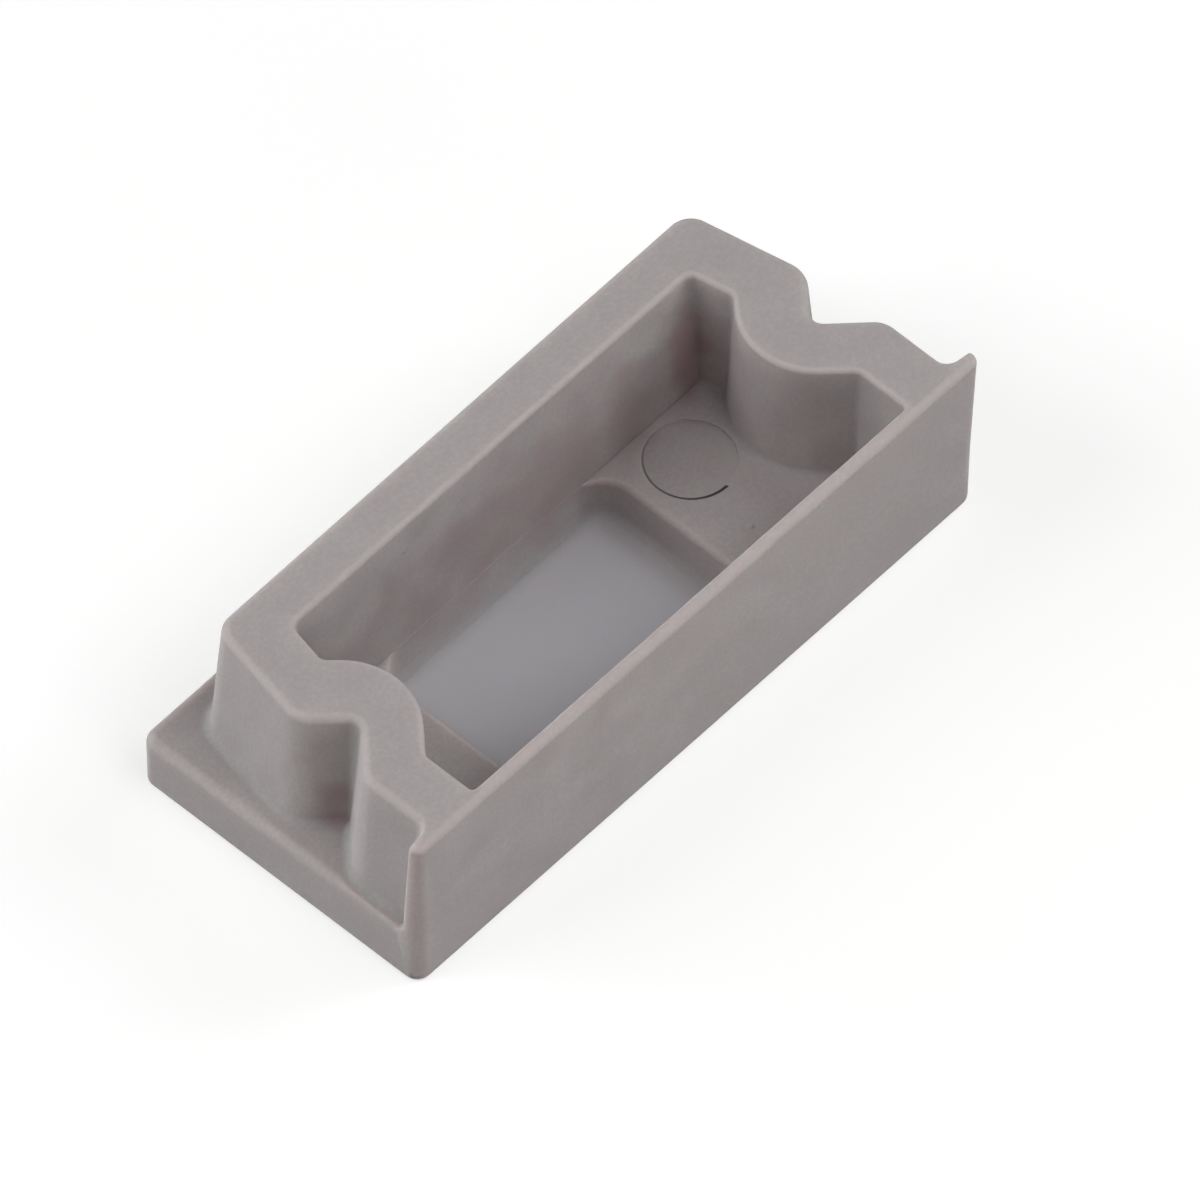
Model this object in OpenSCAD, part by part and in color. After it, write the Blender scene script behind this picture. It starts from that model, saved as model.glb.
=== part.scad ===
// End cap for a shallow aluminium channel profile, moulded in one piece.
// It lies on its outer face with the plug upwards: X is the length, -Y the tall thin
// front wall and +Z the way the plug enters the channel. All sizes are millimetres.

/* [Base plate] */
// Overall length, across the channel
plate_length = 17.2; // [14:0.1:26]
// Overall width, from the front wall's face to the plate's far edge
plate_width = 7.94; // [7.2:0.02:12]
// Thickness of the plate
plate_thick = 1.6; // [1.2:0.05:3]
// Draft of the outside faces, which widen towards the rim, in degrees
shell_draft = 1.2; // [0:0.1:1.5]
// Radius of the far corners in plan
far_corner_r = 0.35; // [0.3:0.05:0.6]
// Radius of the front corners in plan, as far as the fin's thickness allows
front_corner_r = 0.35; // [0.2:0.01:0.5]
// Rounding of the edge that shows outside
outer_edge_r = 0.18; // [0.05:0.01:0.19]
// Rounding of the edge round the seat for the channel
seat_edge_r = 0.25; // [0.05:0.01:0.28]

/* [Plug] */
// Height of the rim above the outer face
total_height = 5; // [4.2:0.1:6.5]
// Set-back of the plug's far wall from the plate's far edge, at the seat
far_setback = 0.66; // [0.5:0.02:1.1]
// Set-back of the plug's far corner from the plate's end, at the seat
end_setback = 1.15; // [1.05:0.01:1.6]
// Thickness of the plug's far wall at the rim
far_wall = 1.14; // [0.9:0.02:1.4]
// Thickness of the plug's end walls at the rim
end_wall = 1.34; // [0.9:0.02:1.44]
// Draft of the plug's outer walls, in degrees
plug_draft = 4; // [1:0.5:5]
// Rounding along the top of the rim's outer edge
rim_r = 0.18; // [0.05:0.01:0.25]
// Fillet where the plug meets the plate
foot_r = 0.22; // [0.05:0.01:0.25]
// Radius of the plug's far corners in plan
plug_corner_r = 0.55; // [0.3:0.05:0.8]

/* [Ends] */
// Length of the leaning stretch of each end, measured along the width
lean_run = 2.87; // [2.4:0.05:3.2]
// How far that stretch leans outwards, in degrees
lean_angle = 11.6; // [6:0.2:14]
// Depth of the notch, measured from the leaning stretch
notch_depth = 0.94; // [0.7:0.02:1.1]
// Set-back of the stretch between the notch and the fin from the plate's end, at the seat
front_setback = 0.4; // [0.38:0.01:0.75]
// Thickness of the end wall behind the notch
notch_wall = 1.42; // [1.1:0.02:1.6]
// How far the bulge behind the notch lies towards the far side
bulge_shift = 0.18; // [0:0.02:0.3]
// Radius in the bottom of the notch
notch_r = 0.3; // [0.2:0.02:0.4]
// Radius of the shoulder on the notch's far side
far_shoulder_r = 0.7; // [0.4:0.05:0.8]
// Radius of the shoulder on the notch's front side
front_shoulder_r = 0.6; // [0.4:0.05:0.7]

/* [Front wall] */
// Thickness of the front wall at its top
front_thick = 0.28; // [0.28:0.01:0.5]
// How much thicker a fin is at its root than at its tip
fin_taper = 0.08; // [0.04:0.01:0.15]
// Fillet between a fin and the end of the plug
fin_root_r = 0.35; // [0.2:0.01:0.5]
// Rounding along the top of the front wall
front_top_r = 0.2; // [0.05:0.01:0.2]

/* [Cavity] */
// Height of the cavity's floor above the outer face
floor_height = 1.55; // [1.3:0.05:2.2]
// Draft of the cavity's walls, in degrees
cavity_draft = 2.5; // [0.5:0.5:3]
// Draft of its far wall, which runs on down into the recess
far_draft = 6; // [2:0.5:7]
// Rounding along the top of the rim's inner edge
inner_rim_r = 0.12; // [0.05:0.01:0.3]
// Radius of the cavity's upright corners
cavity_corner_r = 0.25; // [0.15:0.05:0.5]
// Radius of the cavity's corners at the front wall
cavity_front_r = 0.12; // [0.08:0.01:0.35]
// Fillet round the cavity's floor
floor_r = 0.15; // [0.05:0.01:0.25]

/* [Recess] */
// Height of the recess's floor above the outer face
recess_height = 0.5; // [0.4:0.05:0.8]
// Length of the floor between the recess and the bulge of the left end
left_pad = 1.3; // [0.9:0.05:2.5]
// Length of the floor between the recess and the bulge of the right end
right_pad = 2.3; // [2.1:0.05:3]
// Width of the ledge between the recess and the cavity's front wall
recess_ledge = 0.1; // [0.06:0.01:0.4]
// Radius of the recess's upright corners
recess_corner_r = 0.8; // [0.4:0.05:1.2]
// Draft of the recess's ends and front, in degrees
recess_draft = 4; // [1:1:8]
// Fillet round the recess's floor
recess_floor_r = 0.2; // [0.05:0.01:0.3]
// Rounding along the recess's mouth
recess_mouth_r = 0.15; // [0.05:0.01:0.2]

/* [Ejector mark] */
// Diameter of the round witness mark left by the ejector pin
pin_d = 2; // [1:0.1:2.4]
// Depth of the witness mark
pin_depth = 0.05; // [0.02:0.01:0.1]
// Distance of the mark's centre from the plate's right end
pin_end = 4.18; // [4.1:0.02:4.4]
// Distance of the mark from the middle of the width
pin_y = 0.36; // [-1:0.02:0.4]

/* [Hidden] */

// Segments in each rounded corner and in each rounded edge
corner_steps = 5;
edge_steps = 4;
// Smallest radius that a corner is drawn with
least_r = 0.015;
// How far the cutter of the witness mark reaches above the floor
reach = 0.5;

front_y = -plate_width / 2;
far_y = plate_width / 2;
end_x = plate_length / 2;

// How far the plug's walls lean in between the seat and the rim
plug_lean = (total_height - plate_thick) * tan(plug_draft);

// Sharp corners of one end of the rim, from the front to the far side
rim_far = [end_x - end_setback - plug_lean, far_y - far_setback - plug_lean];
shoulder_far = rim_far + [lean_run * tan(lean_angle), -lean_run];
notch_bottom = shoulder_far + [-notch_depth, -notch_depth];
notch_rise = end_x - front_setback - plug_lean - notch_bottom.x;
shoulder_front = notch_bottom + [notch_rise, -notch_rise];
fin_root = [shoulder_front.x, front_y + front_thick + fin_taper];
fin_tip = [end_x, front_y + front_thick];
front_corner = [end_x, front_y];

rim_corners = [front_corner, fin_tip, fin_root, shoulder_front, notch_bottom, shoulder_far, rim_far];
rim_steps = [for (c = rim_corners) corner_steps];
fin_tip_r = 0.05;
rim_radii = [front_corner_r, fin_tip_r, fin_root_r, front_shoulder_r, notch_r, far_shoulder_r,
             plug_corner_r];
// One value for each edge: front, fin end, fin, end, notch, notch, leaning stretch, far wall
shell_edges = [1, 1, 0, 0, 0, 0, 0, 0];
plug_edges = [0, 0, 1, 1, 1, 1, 1, 1];
fin_top_r = 0.04;
rim_rounding = [front_top_r, front_top_r, fin_top_r, rim_r, rim_r, rim_r, rim_r, rim_r];

// Points in each half of a section. Every section has the same number, so that one skin can
// run from the outer face over the rim and down to the floor of the recess.
half_points = len(rim_corners) * (corner_steps + 1);

// The cavity follows the rim at its walls' distance and stops at the thin front wall. Points
// along its front edge face those of the plate's corner, and its front corner faces the fin.
cavity_guide = [[shoulder_front.x, front_y], shoulder_front, notch_bottom, shoulder_far, rim_far];
bulge_skew = bulge_shift / sqrt(2);
cavity_walls = [front_thick, end_wall, notch_wall - bulge_skew, notch_wall + bulge_skew, end_wall,
                far_wall];
cavity_corners = moved_corners(cavity_guide, cavity_walls);
front_run = corner_steps + 1;
cavity_steps = [2 * front_run - 1, corner_steps, corner_steps, corner_steps, corner_steps];
// The bulge behind the notch is concentric with it, as far as its straight sides leave room
side_margin = 0.25;
bulge_sides = [norm(cavity_corners[2] - cavity_corners[1]), norm(cavity_corners[3] - cavity_corners[2])];
bulge_r = min(notch_r + notch_wall, min(bulge_sides) - side_margin);
cavity_radii = [cavity_front_r, cavity_corner_r, bulge_r, cavity_corner_r, cavity_corner_r];
cavity_drafts = [cavity_draft, cavity_draft, cavity_draft, cavity_draft, cavity_draft, far_draft];
front_inner_r = 0.05;
cavity_rounding = [front_inner_r, inner_rim_r, inner_rim_r, inner_rim_r, inner_rim_r, inner_rim_r];
// The floor's fillet is small along the two long walls, which the recess comes up to
long_floor_r = 0.02;
floor_rounding = [long_floor_r, floor_r, floor_r, floor_r, floor_r, long_floor_r];

// At the far wall the recess has a ledge too narrow to see
far_ledge = 0.02;
floor_depth = total_height - floor_height;
bulge_foot = cavity_corners[2].x + (sqrt(2) - 1) * bulge_r - floor_depth * tan(cavity_draft) - floor_r;
recess_end = bulge_foot - (left_pad + right_pad) / 2;
recess_shift = (left_pad - right_pad) / 2;
recess_front_y = front_y + front_thick + floor_depth * tan(cavity_draft) + long_floor_r + recess_ledge;
recess_far_y = rim_far.y - far_wall - floor_depth * tan(far_draft) - long_floor_r - far_ledge;
recess_corners = [[recess_end, recess_front_y], [recess_end, recess_far_y]];
// The cavity's points along its front edge begin where the recess's corners do
run_start = recess_end - recess_corner_r + abs(recess_shift);
recess_drafts = [recess_draft, recess_draft, far_draft];
far_foot_r = 0.08;
recess_rounding = [recess_floor_r, recess_floor_r, far_foot_r];
recess_steps = [4 * (corner_steps + 1) - 1, 3 * (corner_steps + 1) - 1];
recess_radii = [recess_corner_r, recess_corner_r];

// Unit direction from one point to another, and the normal on its left
function heading(a, b) = (b - a) / norm(b - a);
function left(t) = [-t.y, t.x];

// Directions of the edges before, between and after the corners of one end
function headings(c) = concat(
    [[1, 0]],
    [for (i = [0 : len(c) - 2]) heading(c[i], c[i + 1])],
    [[-1, 0]]
);

// The same corners once each edge has moved inwards by its own inset
function moved_corners(c, inset) =
    let (t = headings(c))
    [for (i = [0 : len(c) - 1])
        let (
            a = left(t[i]),
            b = left(t[i + 1]),
            det = a.x * b.y - a.y * b.x
        )
        c[i] + [inset[i] * b.y - inset[i + 1] * a.y, a.x * inset[i + 1] - b.x * inset[i]] / det
    ];

// Points of the arc that rounds a corner between two directions
function corner_arc(c, before, after, r, steps) =
    let (
        turn = atan2(before.x * after.y - before.y * after.x, before * after),
        start = c - before * r * tan(abs(turn) / 2),
        centre = start + left(before) * r * sign(turn),
        spoke = start - centre
    )
    [for (k = [0 : steps])
        let (a = turn * k / steps)
        centre + [spoke.x * cos(a) - spoke.y * sin(a), spoke.x * sin(a) + spoke.y * cos(a)]
    ];

// Rounded outline of one end, with every edge moved inwards by its own inset. A corner's radius
// changes with it only where both of its edges move the same way.
function end_outline(c, radii, inset, steps) =
    let (t = headings(c), m = moved_corners(c, inset))
    [for (i = [0 : len(c) - 1])
        let (
            side = sign(t[i].x * t[i + 1].y - t[i].y * t[i + 1].x),
            shift = inset[i] * inset[i + 1] > 0 ? (inset[i] + inset[i + 1]) / 2 : 0
        )
        each corner_arc(m[i], t[i], t[i + 1], max(least_r, radii[i] - side * shift), steps[i])
    ];

// A closed section: one end, and the same end mirrored about a middle, at one height
function section(half, z, middle = 0) = concat(
    [for (p = half) [middle + p.x, p.y, z]],
    [for (i = [len(half) - 1 : -1 : 0]) [middle - half[i].x, half[i].y, z]]
);

// How far the outside faces stand back below the height at which they are widest
function shell_inset(z, widest) = (widest - z) * tan(shell_draft);

// How far the plug's outer walls stand out below the rim
function plug_flare(z) = (total_height - z) * tan(plug_draft);

// How far walls of several drafts lean in over a depth
function drafted(drafts, depth) = [for (d = drafts) depth * tan(d)];

// Radius of a front corner at a height: at the fin it leaves room for the tip's own rounding
function front_r(z, inset) =
    let (fin = front_thick + max(0, plug_flare(z) - shell_inset(z, total_height - rim_r)))
    max(least_r, min(front_corner_r, fin - fin_tip_r - least_r) - inset);

// Outline of the plug and the front wall at a height, with the foot's fillet or the share of
// the rounding along the rim
function plug_outline(z, fillet = 0, rounding = 0) =
    let (
        inset = shell_edges * shell_inset(z, total_height - rim_r)
            - plug_edges * (plug_flare(z) + fillet)
            + rim_rounding * rounding,
        plug = end_outline(rim_corners, rim_radii, inset, rim_steps),
        front = [end_x - inset[0], front_y + inset[0]]
    )
    concat(
        corner_arc(front, [1, 0], [0, 1], front_r(z, rim_rounding[0] * rounding), corner_steps),
        [for (k = [corner_steps + 1 : half_points - 1]) plug[k]]
    );

// Outline of the plate at a height. It keeps the plug's stations along the width, so that the
// two can be skinned together, and has a corner of its own on the far side.
function plate_outline(z, inset, seat_inset) =
    let (
        foot = plug_outline(plate_thick, fillet = foot_r),
        stations = [corner_steps + 1 : half_points - corner_steps - 2],
        front_inset = shell_inset(z, total_height - rim_r) + inset,
        far_inset = shell_inset(z, plate_thick - seat_edge_r) + inset + seat_inset,
        front = [end_x - front_inset, front_y + front_inset],
        far_r = max(least_r, far_corner_r - far_inset)
    )
    concat(
        corner_arc(front, [1, 0], [0, 1], front_r(plate_thick, inset), corner_steps),
        [for (k = stations) [end_x - front_inset - seat_share(foot[k]) * seat_inset, foot[k].y]],
        corner_arc([end_x - front_inset - seat_inset, far_y - far_inset], [0, 1], [-1, 0], far_r,
            corner_steps)
    );

// The seat's rounded edge gets smaller where the ledge beside the plug's foot is narrow
function seat_share(foot) =
    let (ledge = end_x - shell_inset(plate_thick, total_height - rim_r) - foot.x)
    min(1, max(0, 0.8 * ledge / seat_edge_r));

// Outline of the cavity at a height, with its floor's fillet or its share of the rounding
function cavity_outline(z, fillet = 0, rounding = 0) =
    let (
        inset = drafted(cavity_drafts, total_height - z) + floor_rounding * fillet
            - cavity_rounding * rounding,
        ends = end_outline(cavity_corners, cavity_radii, inset, cavity_steps)
    )
    concat(
        [for (k = [1 : front_run])
            [run_start + (ends[0].x - run_start) * k / (front_run + 1), ends[0].y]],
        ends
    );

// Outline of the recess at a height
function recess_outline(z, fillet = 0, rounding = 0) =
    end_outline(
        recess_corners, recess_radii,
        drafted(recess_drafts, floor_height - z) + recess_rounding * fillet - [0, rounding, 0],
        recess_steps
    );

// Two triangles between four points, cut along the shorter diagonal
function facets(p, a, b, c, d) =
    norm(p[a] - p[c]) < norm(p[b] - p[d]) ? [[a, b, c], [a, c, d]] : [[a, b, d], [b, c, d]];

// Skins a stack of sections in their order and closes both ends. The caps are strips across
// the length, because the two ends mirror each other.
module skin(sections) {
    n = len(sections[0]);
    h = n / 2;
    last = (len(sections) - 1) * n;
    points = [for (s = sections) each s];
    polyhedron(
        points = points,
        faces = concat(
            [for (s = [0 : n : last - n], k = [0 : n - 1])
                let (next = (k + 1) % n)
                each facets(points, s + k, s + n + k, s + n + next, s + next)
            ],
            [for (k = [0 : h - 2]) [k, k + 1, n - 2 - k, n - 1 - k]],
            [for (k = [0 : h - 2]) [last + n - 1 - k, last + n - 2 - k, last + k + 1, last + k]]
        )
    );
}

// The moulding: out from the outer face, up the plate and the plug, over the rim, and down the
// cavity and the recess
module moulding() {
    quarter = [for (k = [0 : edge_steps]) 90 * k / edge_steps];
    falling = [for (k = [edge_steps : -1 : 0]) 90 * k / edge_steps];
    skin(concat(
        [for (a = quarter)
            let (z = outer_edge_r * (1 - cos(a)))
            section(plate_outline(z, outer_edge_r * (1 - sin(a)), 0), z)],
        [for (a = quarter)
            let (z = plate_thick - seat_edge_r * (1 - sin(a)))
            section(plate_outline(z, 0, seat_edge_r * (1 - cos(a))), z)],
        [for (a = quarter)
            let (z = plate_thick + foot_r * (1 - cos(a)))
            section(plug_outline(z, fillet = foot_r * (1 - sin(a))), z)],
        [for (a = quarter)
            let (z = total_height - rim_r * (1 - sin(a)))
            section(plug_outline(z, rounding = 1 - cos(a)), z)],
        [for (a = falling)
            let (z = total_height - inner_rim_r * (1 - sin(a)))
            section(cavity_outline(z, rounding = 1 - cos(a)), z)],
        [for (a = falling)
            let (z = floor_height + floor_r * (1 - cos(a)))
            section(cavity_outline(z, fillet = 1 - sin(a)), z)],
        [for (a = falling)
            let (z = floor_height - recess_mouth_r * (1 - sin(a)))
            section(recess_outline(z, rounding = recess_mouth_r * (1 - cos(a))), z, recess_shift)],
        [for (a = falling)
            let (z = recess_height + recess_floor_r * (1 - cos(a)))
            section(recess_outline(z, fillet = 1 - sin(a)), z, recess_shift)]
    ));
}

// Round mark of the ejector pin on the floor at one end
module pin_mark() {
    translate([end_x - pin_end, pin_y, floor_height - pin_depth])
        cylinder(d = pin_d, h = pin_depth + reach, $fn = 64);
}

module end_cap() {
    color([0.62, 0.6, 0.6])
        difference() {
            moulding();
            pin_mark();
        }
}

end_cap();
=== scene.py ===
import logging
import math
from dataclasses import dataclass, field
from typing import Iterable, Sequence

import bmesh
import bpy
import numpy as np
from mathutils import Matrix, Vector


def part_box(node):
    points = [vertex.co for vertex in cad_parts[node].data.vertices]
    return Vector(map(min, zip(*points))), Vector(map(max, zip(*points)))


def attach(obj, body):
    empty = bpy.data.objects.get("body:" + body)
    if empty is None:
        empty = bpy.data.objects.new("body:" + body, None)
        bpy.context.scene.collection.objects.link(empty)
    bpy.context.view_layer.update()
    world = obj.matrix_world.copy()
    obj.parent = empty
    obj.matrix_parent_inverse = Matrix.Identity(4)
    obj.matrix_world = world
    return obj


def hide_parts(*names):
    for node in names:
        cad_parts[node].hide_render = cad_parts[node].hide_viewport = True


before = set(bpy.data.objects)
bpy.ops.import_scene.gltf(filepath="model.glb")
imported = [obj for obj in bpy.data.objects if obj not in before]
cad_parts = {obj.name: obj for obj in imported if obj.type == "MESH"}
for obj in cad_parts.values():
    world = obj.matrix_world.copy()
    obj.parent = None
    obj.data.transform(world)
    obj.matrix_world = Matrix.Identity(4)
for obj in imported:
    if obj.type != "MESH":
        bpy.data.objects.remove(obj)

MM = 0.001
NODE = "end_cap"
BODY = "root"

# Share of the painted highlight along the rounded edges, stored on the mesh.
EDGE_HIGHLIGHT = "painted_edge_highlight"
# Share of the painted shade in the ejector mark's groove, stored on the mesh.
GROOVE_SHADE = "groove_painted_shade"

# The smallest radius that is drawn, in millimetres.
LEAST_RADIUS = 0.015
# The angle below which two faces count as one flat face, in radians.
FLAT_ANGLE = 0.001
WHITE = (1, 1, 1, 1)
EAST, NORTH, WEST = np.array((1.0, 0.0)), np.array((0.0, 1.0)), np.array((-1.0, 0.0))

log = logging.getLogger("end_cap")

Colour = tuple[float, float, float]
Place = tuple[float, float, float]
Span = tuple[float, float]
Socket = bpy.types.NodeSocket
Link = tuple[str | int, object]


def linear(red: int, green: int, blue: int) -> Colour:
    """Turns a screen colour into the linear values that a shader takes.

    Args:
        red: Red, from 0 to 255.
        green: Green, from 0 to 255.
        blue: Blue, from 0 to 255.

    Returns:
        The linear red, green and blue.
    """
    def one(value: int) -> float:
        """Linear value of one channel."""
        share = value / 255
        return share / 12.92 if share <= 0.04045 else ((share + 0.055) / 1.055) ** 2.4

    return one(red), one(green), one(blue)


@dataclass(frozen=True)
class Corner:
    """One sharp corner of an outline and the radius that rounds it.

    Attributes:
        x: Distance from the middle of the length, in millimetres.
        y: Distance from the middle of the width, in millimetres.
        radius: Radius of the corner, in millimetres.
        steps: Segments in the rounded corner.
    """

    x: float
    y: float
    radius: float
    steps: int


@dataclass(frozen=True)
class Outline:
    """One end of a closed outline that mirrors about the middle of the length.

    Attributes:
        corners: Sharp corners from the front to the far side.
    """

    corners: tuple[Corner, ...]

    def headings(self) -> np.ndarray:
        """Finds the directions of the edges before, between and after the corners.

        Returns:
            The unit directions, one row each.
        """
        places = np.array([(c.x, c.y) for c in self.corners])
        between = np.diff(places, axis=0)
        between /= np.linalg.norm(between, axis=1)[:, None]
        return np.vstack([EAST, between, WEST])

    def moved(self, inset: Sequence[float]) -> np.ndarray:
        """Finds the sharp corners once each edge has moved inwards.

        Args:
            inset: Inward shift of each edge, one more than there are corners.

        Returns:
            The moved corners, one row each.
        """
        ways = self.headings()
        places = []
        for i, corner in enumerate(self.corners):
            a, b = (-ways[i][1], ways[i][0]), (-ways[i + 1][1], ways[i + 1][0])
            det = a[0] * b[1] - a[1] * b[0]
            places.append((
                corner.x + (inset[i] * b[1] - inset[i + 1] * a[1]) / det,
                corner.y + (a[0] * inset[i + 1] - b[0] * inset[i]) / det,
            ))
        return np.array(places)

    def points(self, inset: Sequence[float]) -> np.ndarray:
        """Draws the rounded outline with each edge moved inwards.

        Args:
            inset: Inward shift of each edge, one more than there are corners.

        Returns:
            The points from the front to the far side, one row each.
        """
        ways = self.headings()
        rows = []
        for i, place in enumerate(self.moved(inset)):
            side = np.sign(ways[i][0] * ways[i + 1][1] - ways[i][1] * ways[i + 1][0])
            shift = (inset[i] + inset[i + 1]) / 2 if inset[i] * inset[i + 1] > 0 else 0.0
            radius = max(LEAST_RADIUS, self.corners[i].radius - side * shift)
            rows.append(rounded_corner(place, ways[i], ways[i + 1], radius, self.corners[i].steps))
        return np.vstack(rows)


def rounded_corner(
    place: np.ndarray, before: np.ndarray, after: np.ndarray, radius: float, steps: int
) -> np.ndarray:
    """Rounds one sharp corner.

    Args:
        place: The sharp corner.
        before: Unit direction of the edge that comes in.
        after: Unit direction of the edge that goes out.
        radius: Radius of the arc.
        steps: Segments in the arc.

    Returns:
        The points of the arc, one row each.
    """
    turn = math.atan2(before[0] * after[1] - before[1] * after[0], float(np.dot(before, after)))
    start = place - before * radius * math.tan(abs(turn) / 2)
    centre = start + np.array((-before[1], before[0])) * radius * np.sign(turn)
    spoke = start - centre
    angle = turn * np.linspace(0, 1, steps + 1)
    return centre + np.column_stack((
        spoke[0] * np.cos(angle) - spoke[1] * np.sin(angle),
        spoke[0] * np.sin(angle) + spoke[1] * np.cos(angle),
    ))


def section(half: np.ndarray, height: float, middle: float = 0.0) -> np.ndarray:
    """Closes one end's outline with its mirror image, at one height.

    Args:
        half: Points of one end, one row each.
        height: Height of the section.
        middle: Where the two ends mirror each other along the length.

    Returns:
        The points of the closed section, one row each.
    """
    right = np.column_stack((middle + half[:, 0], half[:, 1], np.full(len(half), height)))
    left = right[::-1] * (-1, 1, 1) + (2 * middle, 0, 0)
    return np.vstack((right, left))


def skin_faces(points: np.ndarray, count: int) -> np.ndarray:
    """Skins a stack of sections, with a strip cap at each end.

    Args:
        points: All points, section after section.
        count: Points in each section.

    Returns:
        The triangles, one row of three point numbers each.
    """
    here = np.arange(len(points) - count)
    ring = here - here % count
    onward = ring + (here + 1) % count
    a, b, c, d = here, here + count, onward + count, onward
    first = np.linalg.norm(points[a] - points[c], axis=1)
    second = np.linalg.norm(points[b] - points[d], axis=1)
    short = first < second
    sides = np.vstack((
        np.column_stack((a, c, b))[short], np.column_stack((a, d, c))[short],
        np.column_stack((a, d, b))[~short], np.column_stack((b, d, c))[~short],
    ))
    k = np.arange(count // 2 - 1)
    p, q, r, s = k, k + 1, count - 2 - k, count - 1 - k
    base = np.vstack((np.column_stack((p, r, q)), np.column_stack((p, s, r))))
    top = base[:, ::-1] + len(points) - count
    return np.vstack((sides, base, top))


class Nodes:
    """A node tree, with short ways to add to it."""

    def __init__(self, tree: bpy.types.NodeTree) -> None:
        """Takes the tree that the nodes go into."""
        self.tree = tree

    def fill(self, node: bpy.types.Node, *links: Link) -> None:
        """Puts links and values on a node's sockets.

        Args:
            node: The node.
            *links: Each socket's name or number, and the socket or value that goes there.
        """
        for key, value in links:
            if isinstance(value, Socket):
                self.tree.links.new(value, node.inputs[key])
            else:
                node.inputs[key].default_value = value

    def add(self, kind: str, *links: Link, **settings: object) -> bpy.types.Node:
        """Adds a node, with links and values on its sockets.

        Args:
            kind: Type of the node.
            *links: Its links and values, as for fill.
            **settings: Settings of the node itself.

        Returns:
            The node.
        """
        node = self.tree.nodes.new(kind)
        for key, value in settings.items():
            setattr(node, key, value)
        self.fill(node, *links)
        return node

    def reckoned(self, operation: str, *values: Socket | float) -> Socket:
        """Works out a sum, a product or the like of several values.

        Args:
            operation: What a Math node does with the first value and the next.
            *values: The values, or the sockets that give them.

        Returns:
            The socket with the result.
        """
        result = values[0]
        for value in values[1:]:
            node = self.add("ShaderNodeMath", (0, result), (1, value), operation=operation)
            result = node.outputs["Value"]
        return result


class ShaderNodes(Nodes):
    """The node tree of a material or of the world."""

    def noise(self, size: float, detail: float) -> Socket:
        """Adds a noise whose cells have a real size.

        Args:
            size: Size of a cell, in millimetres.
            detail: How many finer layers it has.

        Returns:
            The socket with the noise, from 0 to 1.
        """
        place = self.add("ShaderNodeTexCoord").outputs["Object"]
        node = self.add("ShaderNodeTexNoise", ("Vector", place), ("Scale", 1 / (size * MM)),
                        ("Detail", detail))
        return node.outputs["Fac"]

    def stored(self, name: str) -> Socket:
        """Reads a value that the mesh carries, by its name."""
        return self.add("ShaderNodeAttribute", attribute_name=name).outputs["Fac"]

    def mixed(self, under: Colour | Socket, over: Colour, share: Socket) -> Socket:
        """Lays one colour over another.

        Args:
            under: The colour below, or the socket that gives it.
            over: The colour on top.
            share: The socket that says how much of it shows.

        Returns:
            The socket with the mixed colour.
        """
        below = (*under, 1) if isinstance(under, tuple) else under
        node = self.add("ShaderNodeMix", ("A", below), ("B", (*over, 1)), ("Factor", share),
                        data_type="RGBA")
        return node.outputs["Result"]

    def ranged(self, value: Socket, source: Span, target: Span) -> Socket:
        """Turns one range of a value into another, smoothly.

        Args:
            value: The socket that gives the value.
            source: Start and end of its range.
            target: What they become.

        Returns:
            The socket with the new value.
        """
        ends = zip(("From Min", "From Max", "To Min", "To Max"), (*source, *target))
        node = self.add("ShaderNodeMapRange", ("Value", value), *ends,
                        interpolation_type="SMOOTHSTEP")
        return node.outputs["Result"]

    def measured(self, middle: Place, reach: Place, operation: str) -> bpy.types.Node:
        """Measures each place from a middle, in shares of a reach.

        Args:
            middle: Where the measuring starts, in millimetres.
            reach: What counts as one along each axis, in millimetres.
            operation: What a Vector Math node makes of it, such as its length.

        Returns:
            The Vector Math node.
        """
        place = self.add("ShaderNodeTexCoord").outputs["Object"]
        scaled = self.add("ShaderNodeMapping", ("Vector", place),
                          ("Location", [-m / r for m, r in zip(middle, reach)]),
                          ("Scale", [1 / (r * MM) for r in reach]), vector_type="POINT")
        return self.add("ShaderNodeVectorMath", (0, scaled.outputs["Vector"]),
                        operation=operation)

    def seen_directly(self) -> Socket:
        """Finds the rays that show the background, also in a reflection or through glass.

        Returns:
            The socket that is 1 for such a ray and 0 for a ray that lights the cap.
        """
        paths = self.add("ShaderNodeLightPath").outputs
        kinds = ("Is Camera Ray", "Is Glossy Ray", "Is Transmission Ray")
        return self.reckoned("MAXIMUM", *(paths[kind] for kind in kinds))


@dataclass(frozen=True)
class MarkAndShadeSpot:
    """One place on the plastic with a colour of its own, used for the small dark spots and for the
    spots of painted shade.

    Attributes:
        place: Its middle, in millimetres.
        reach: How far it reaches along each axis, in millimetres.
        strength: Share of its own colour at the middle, from 0 to 1.
    """

    place: Place
    reach: Place
    strength: float


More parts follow.
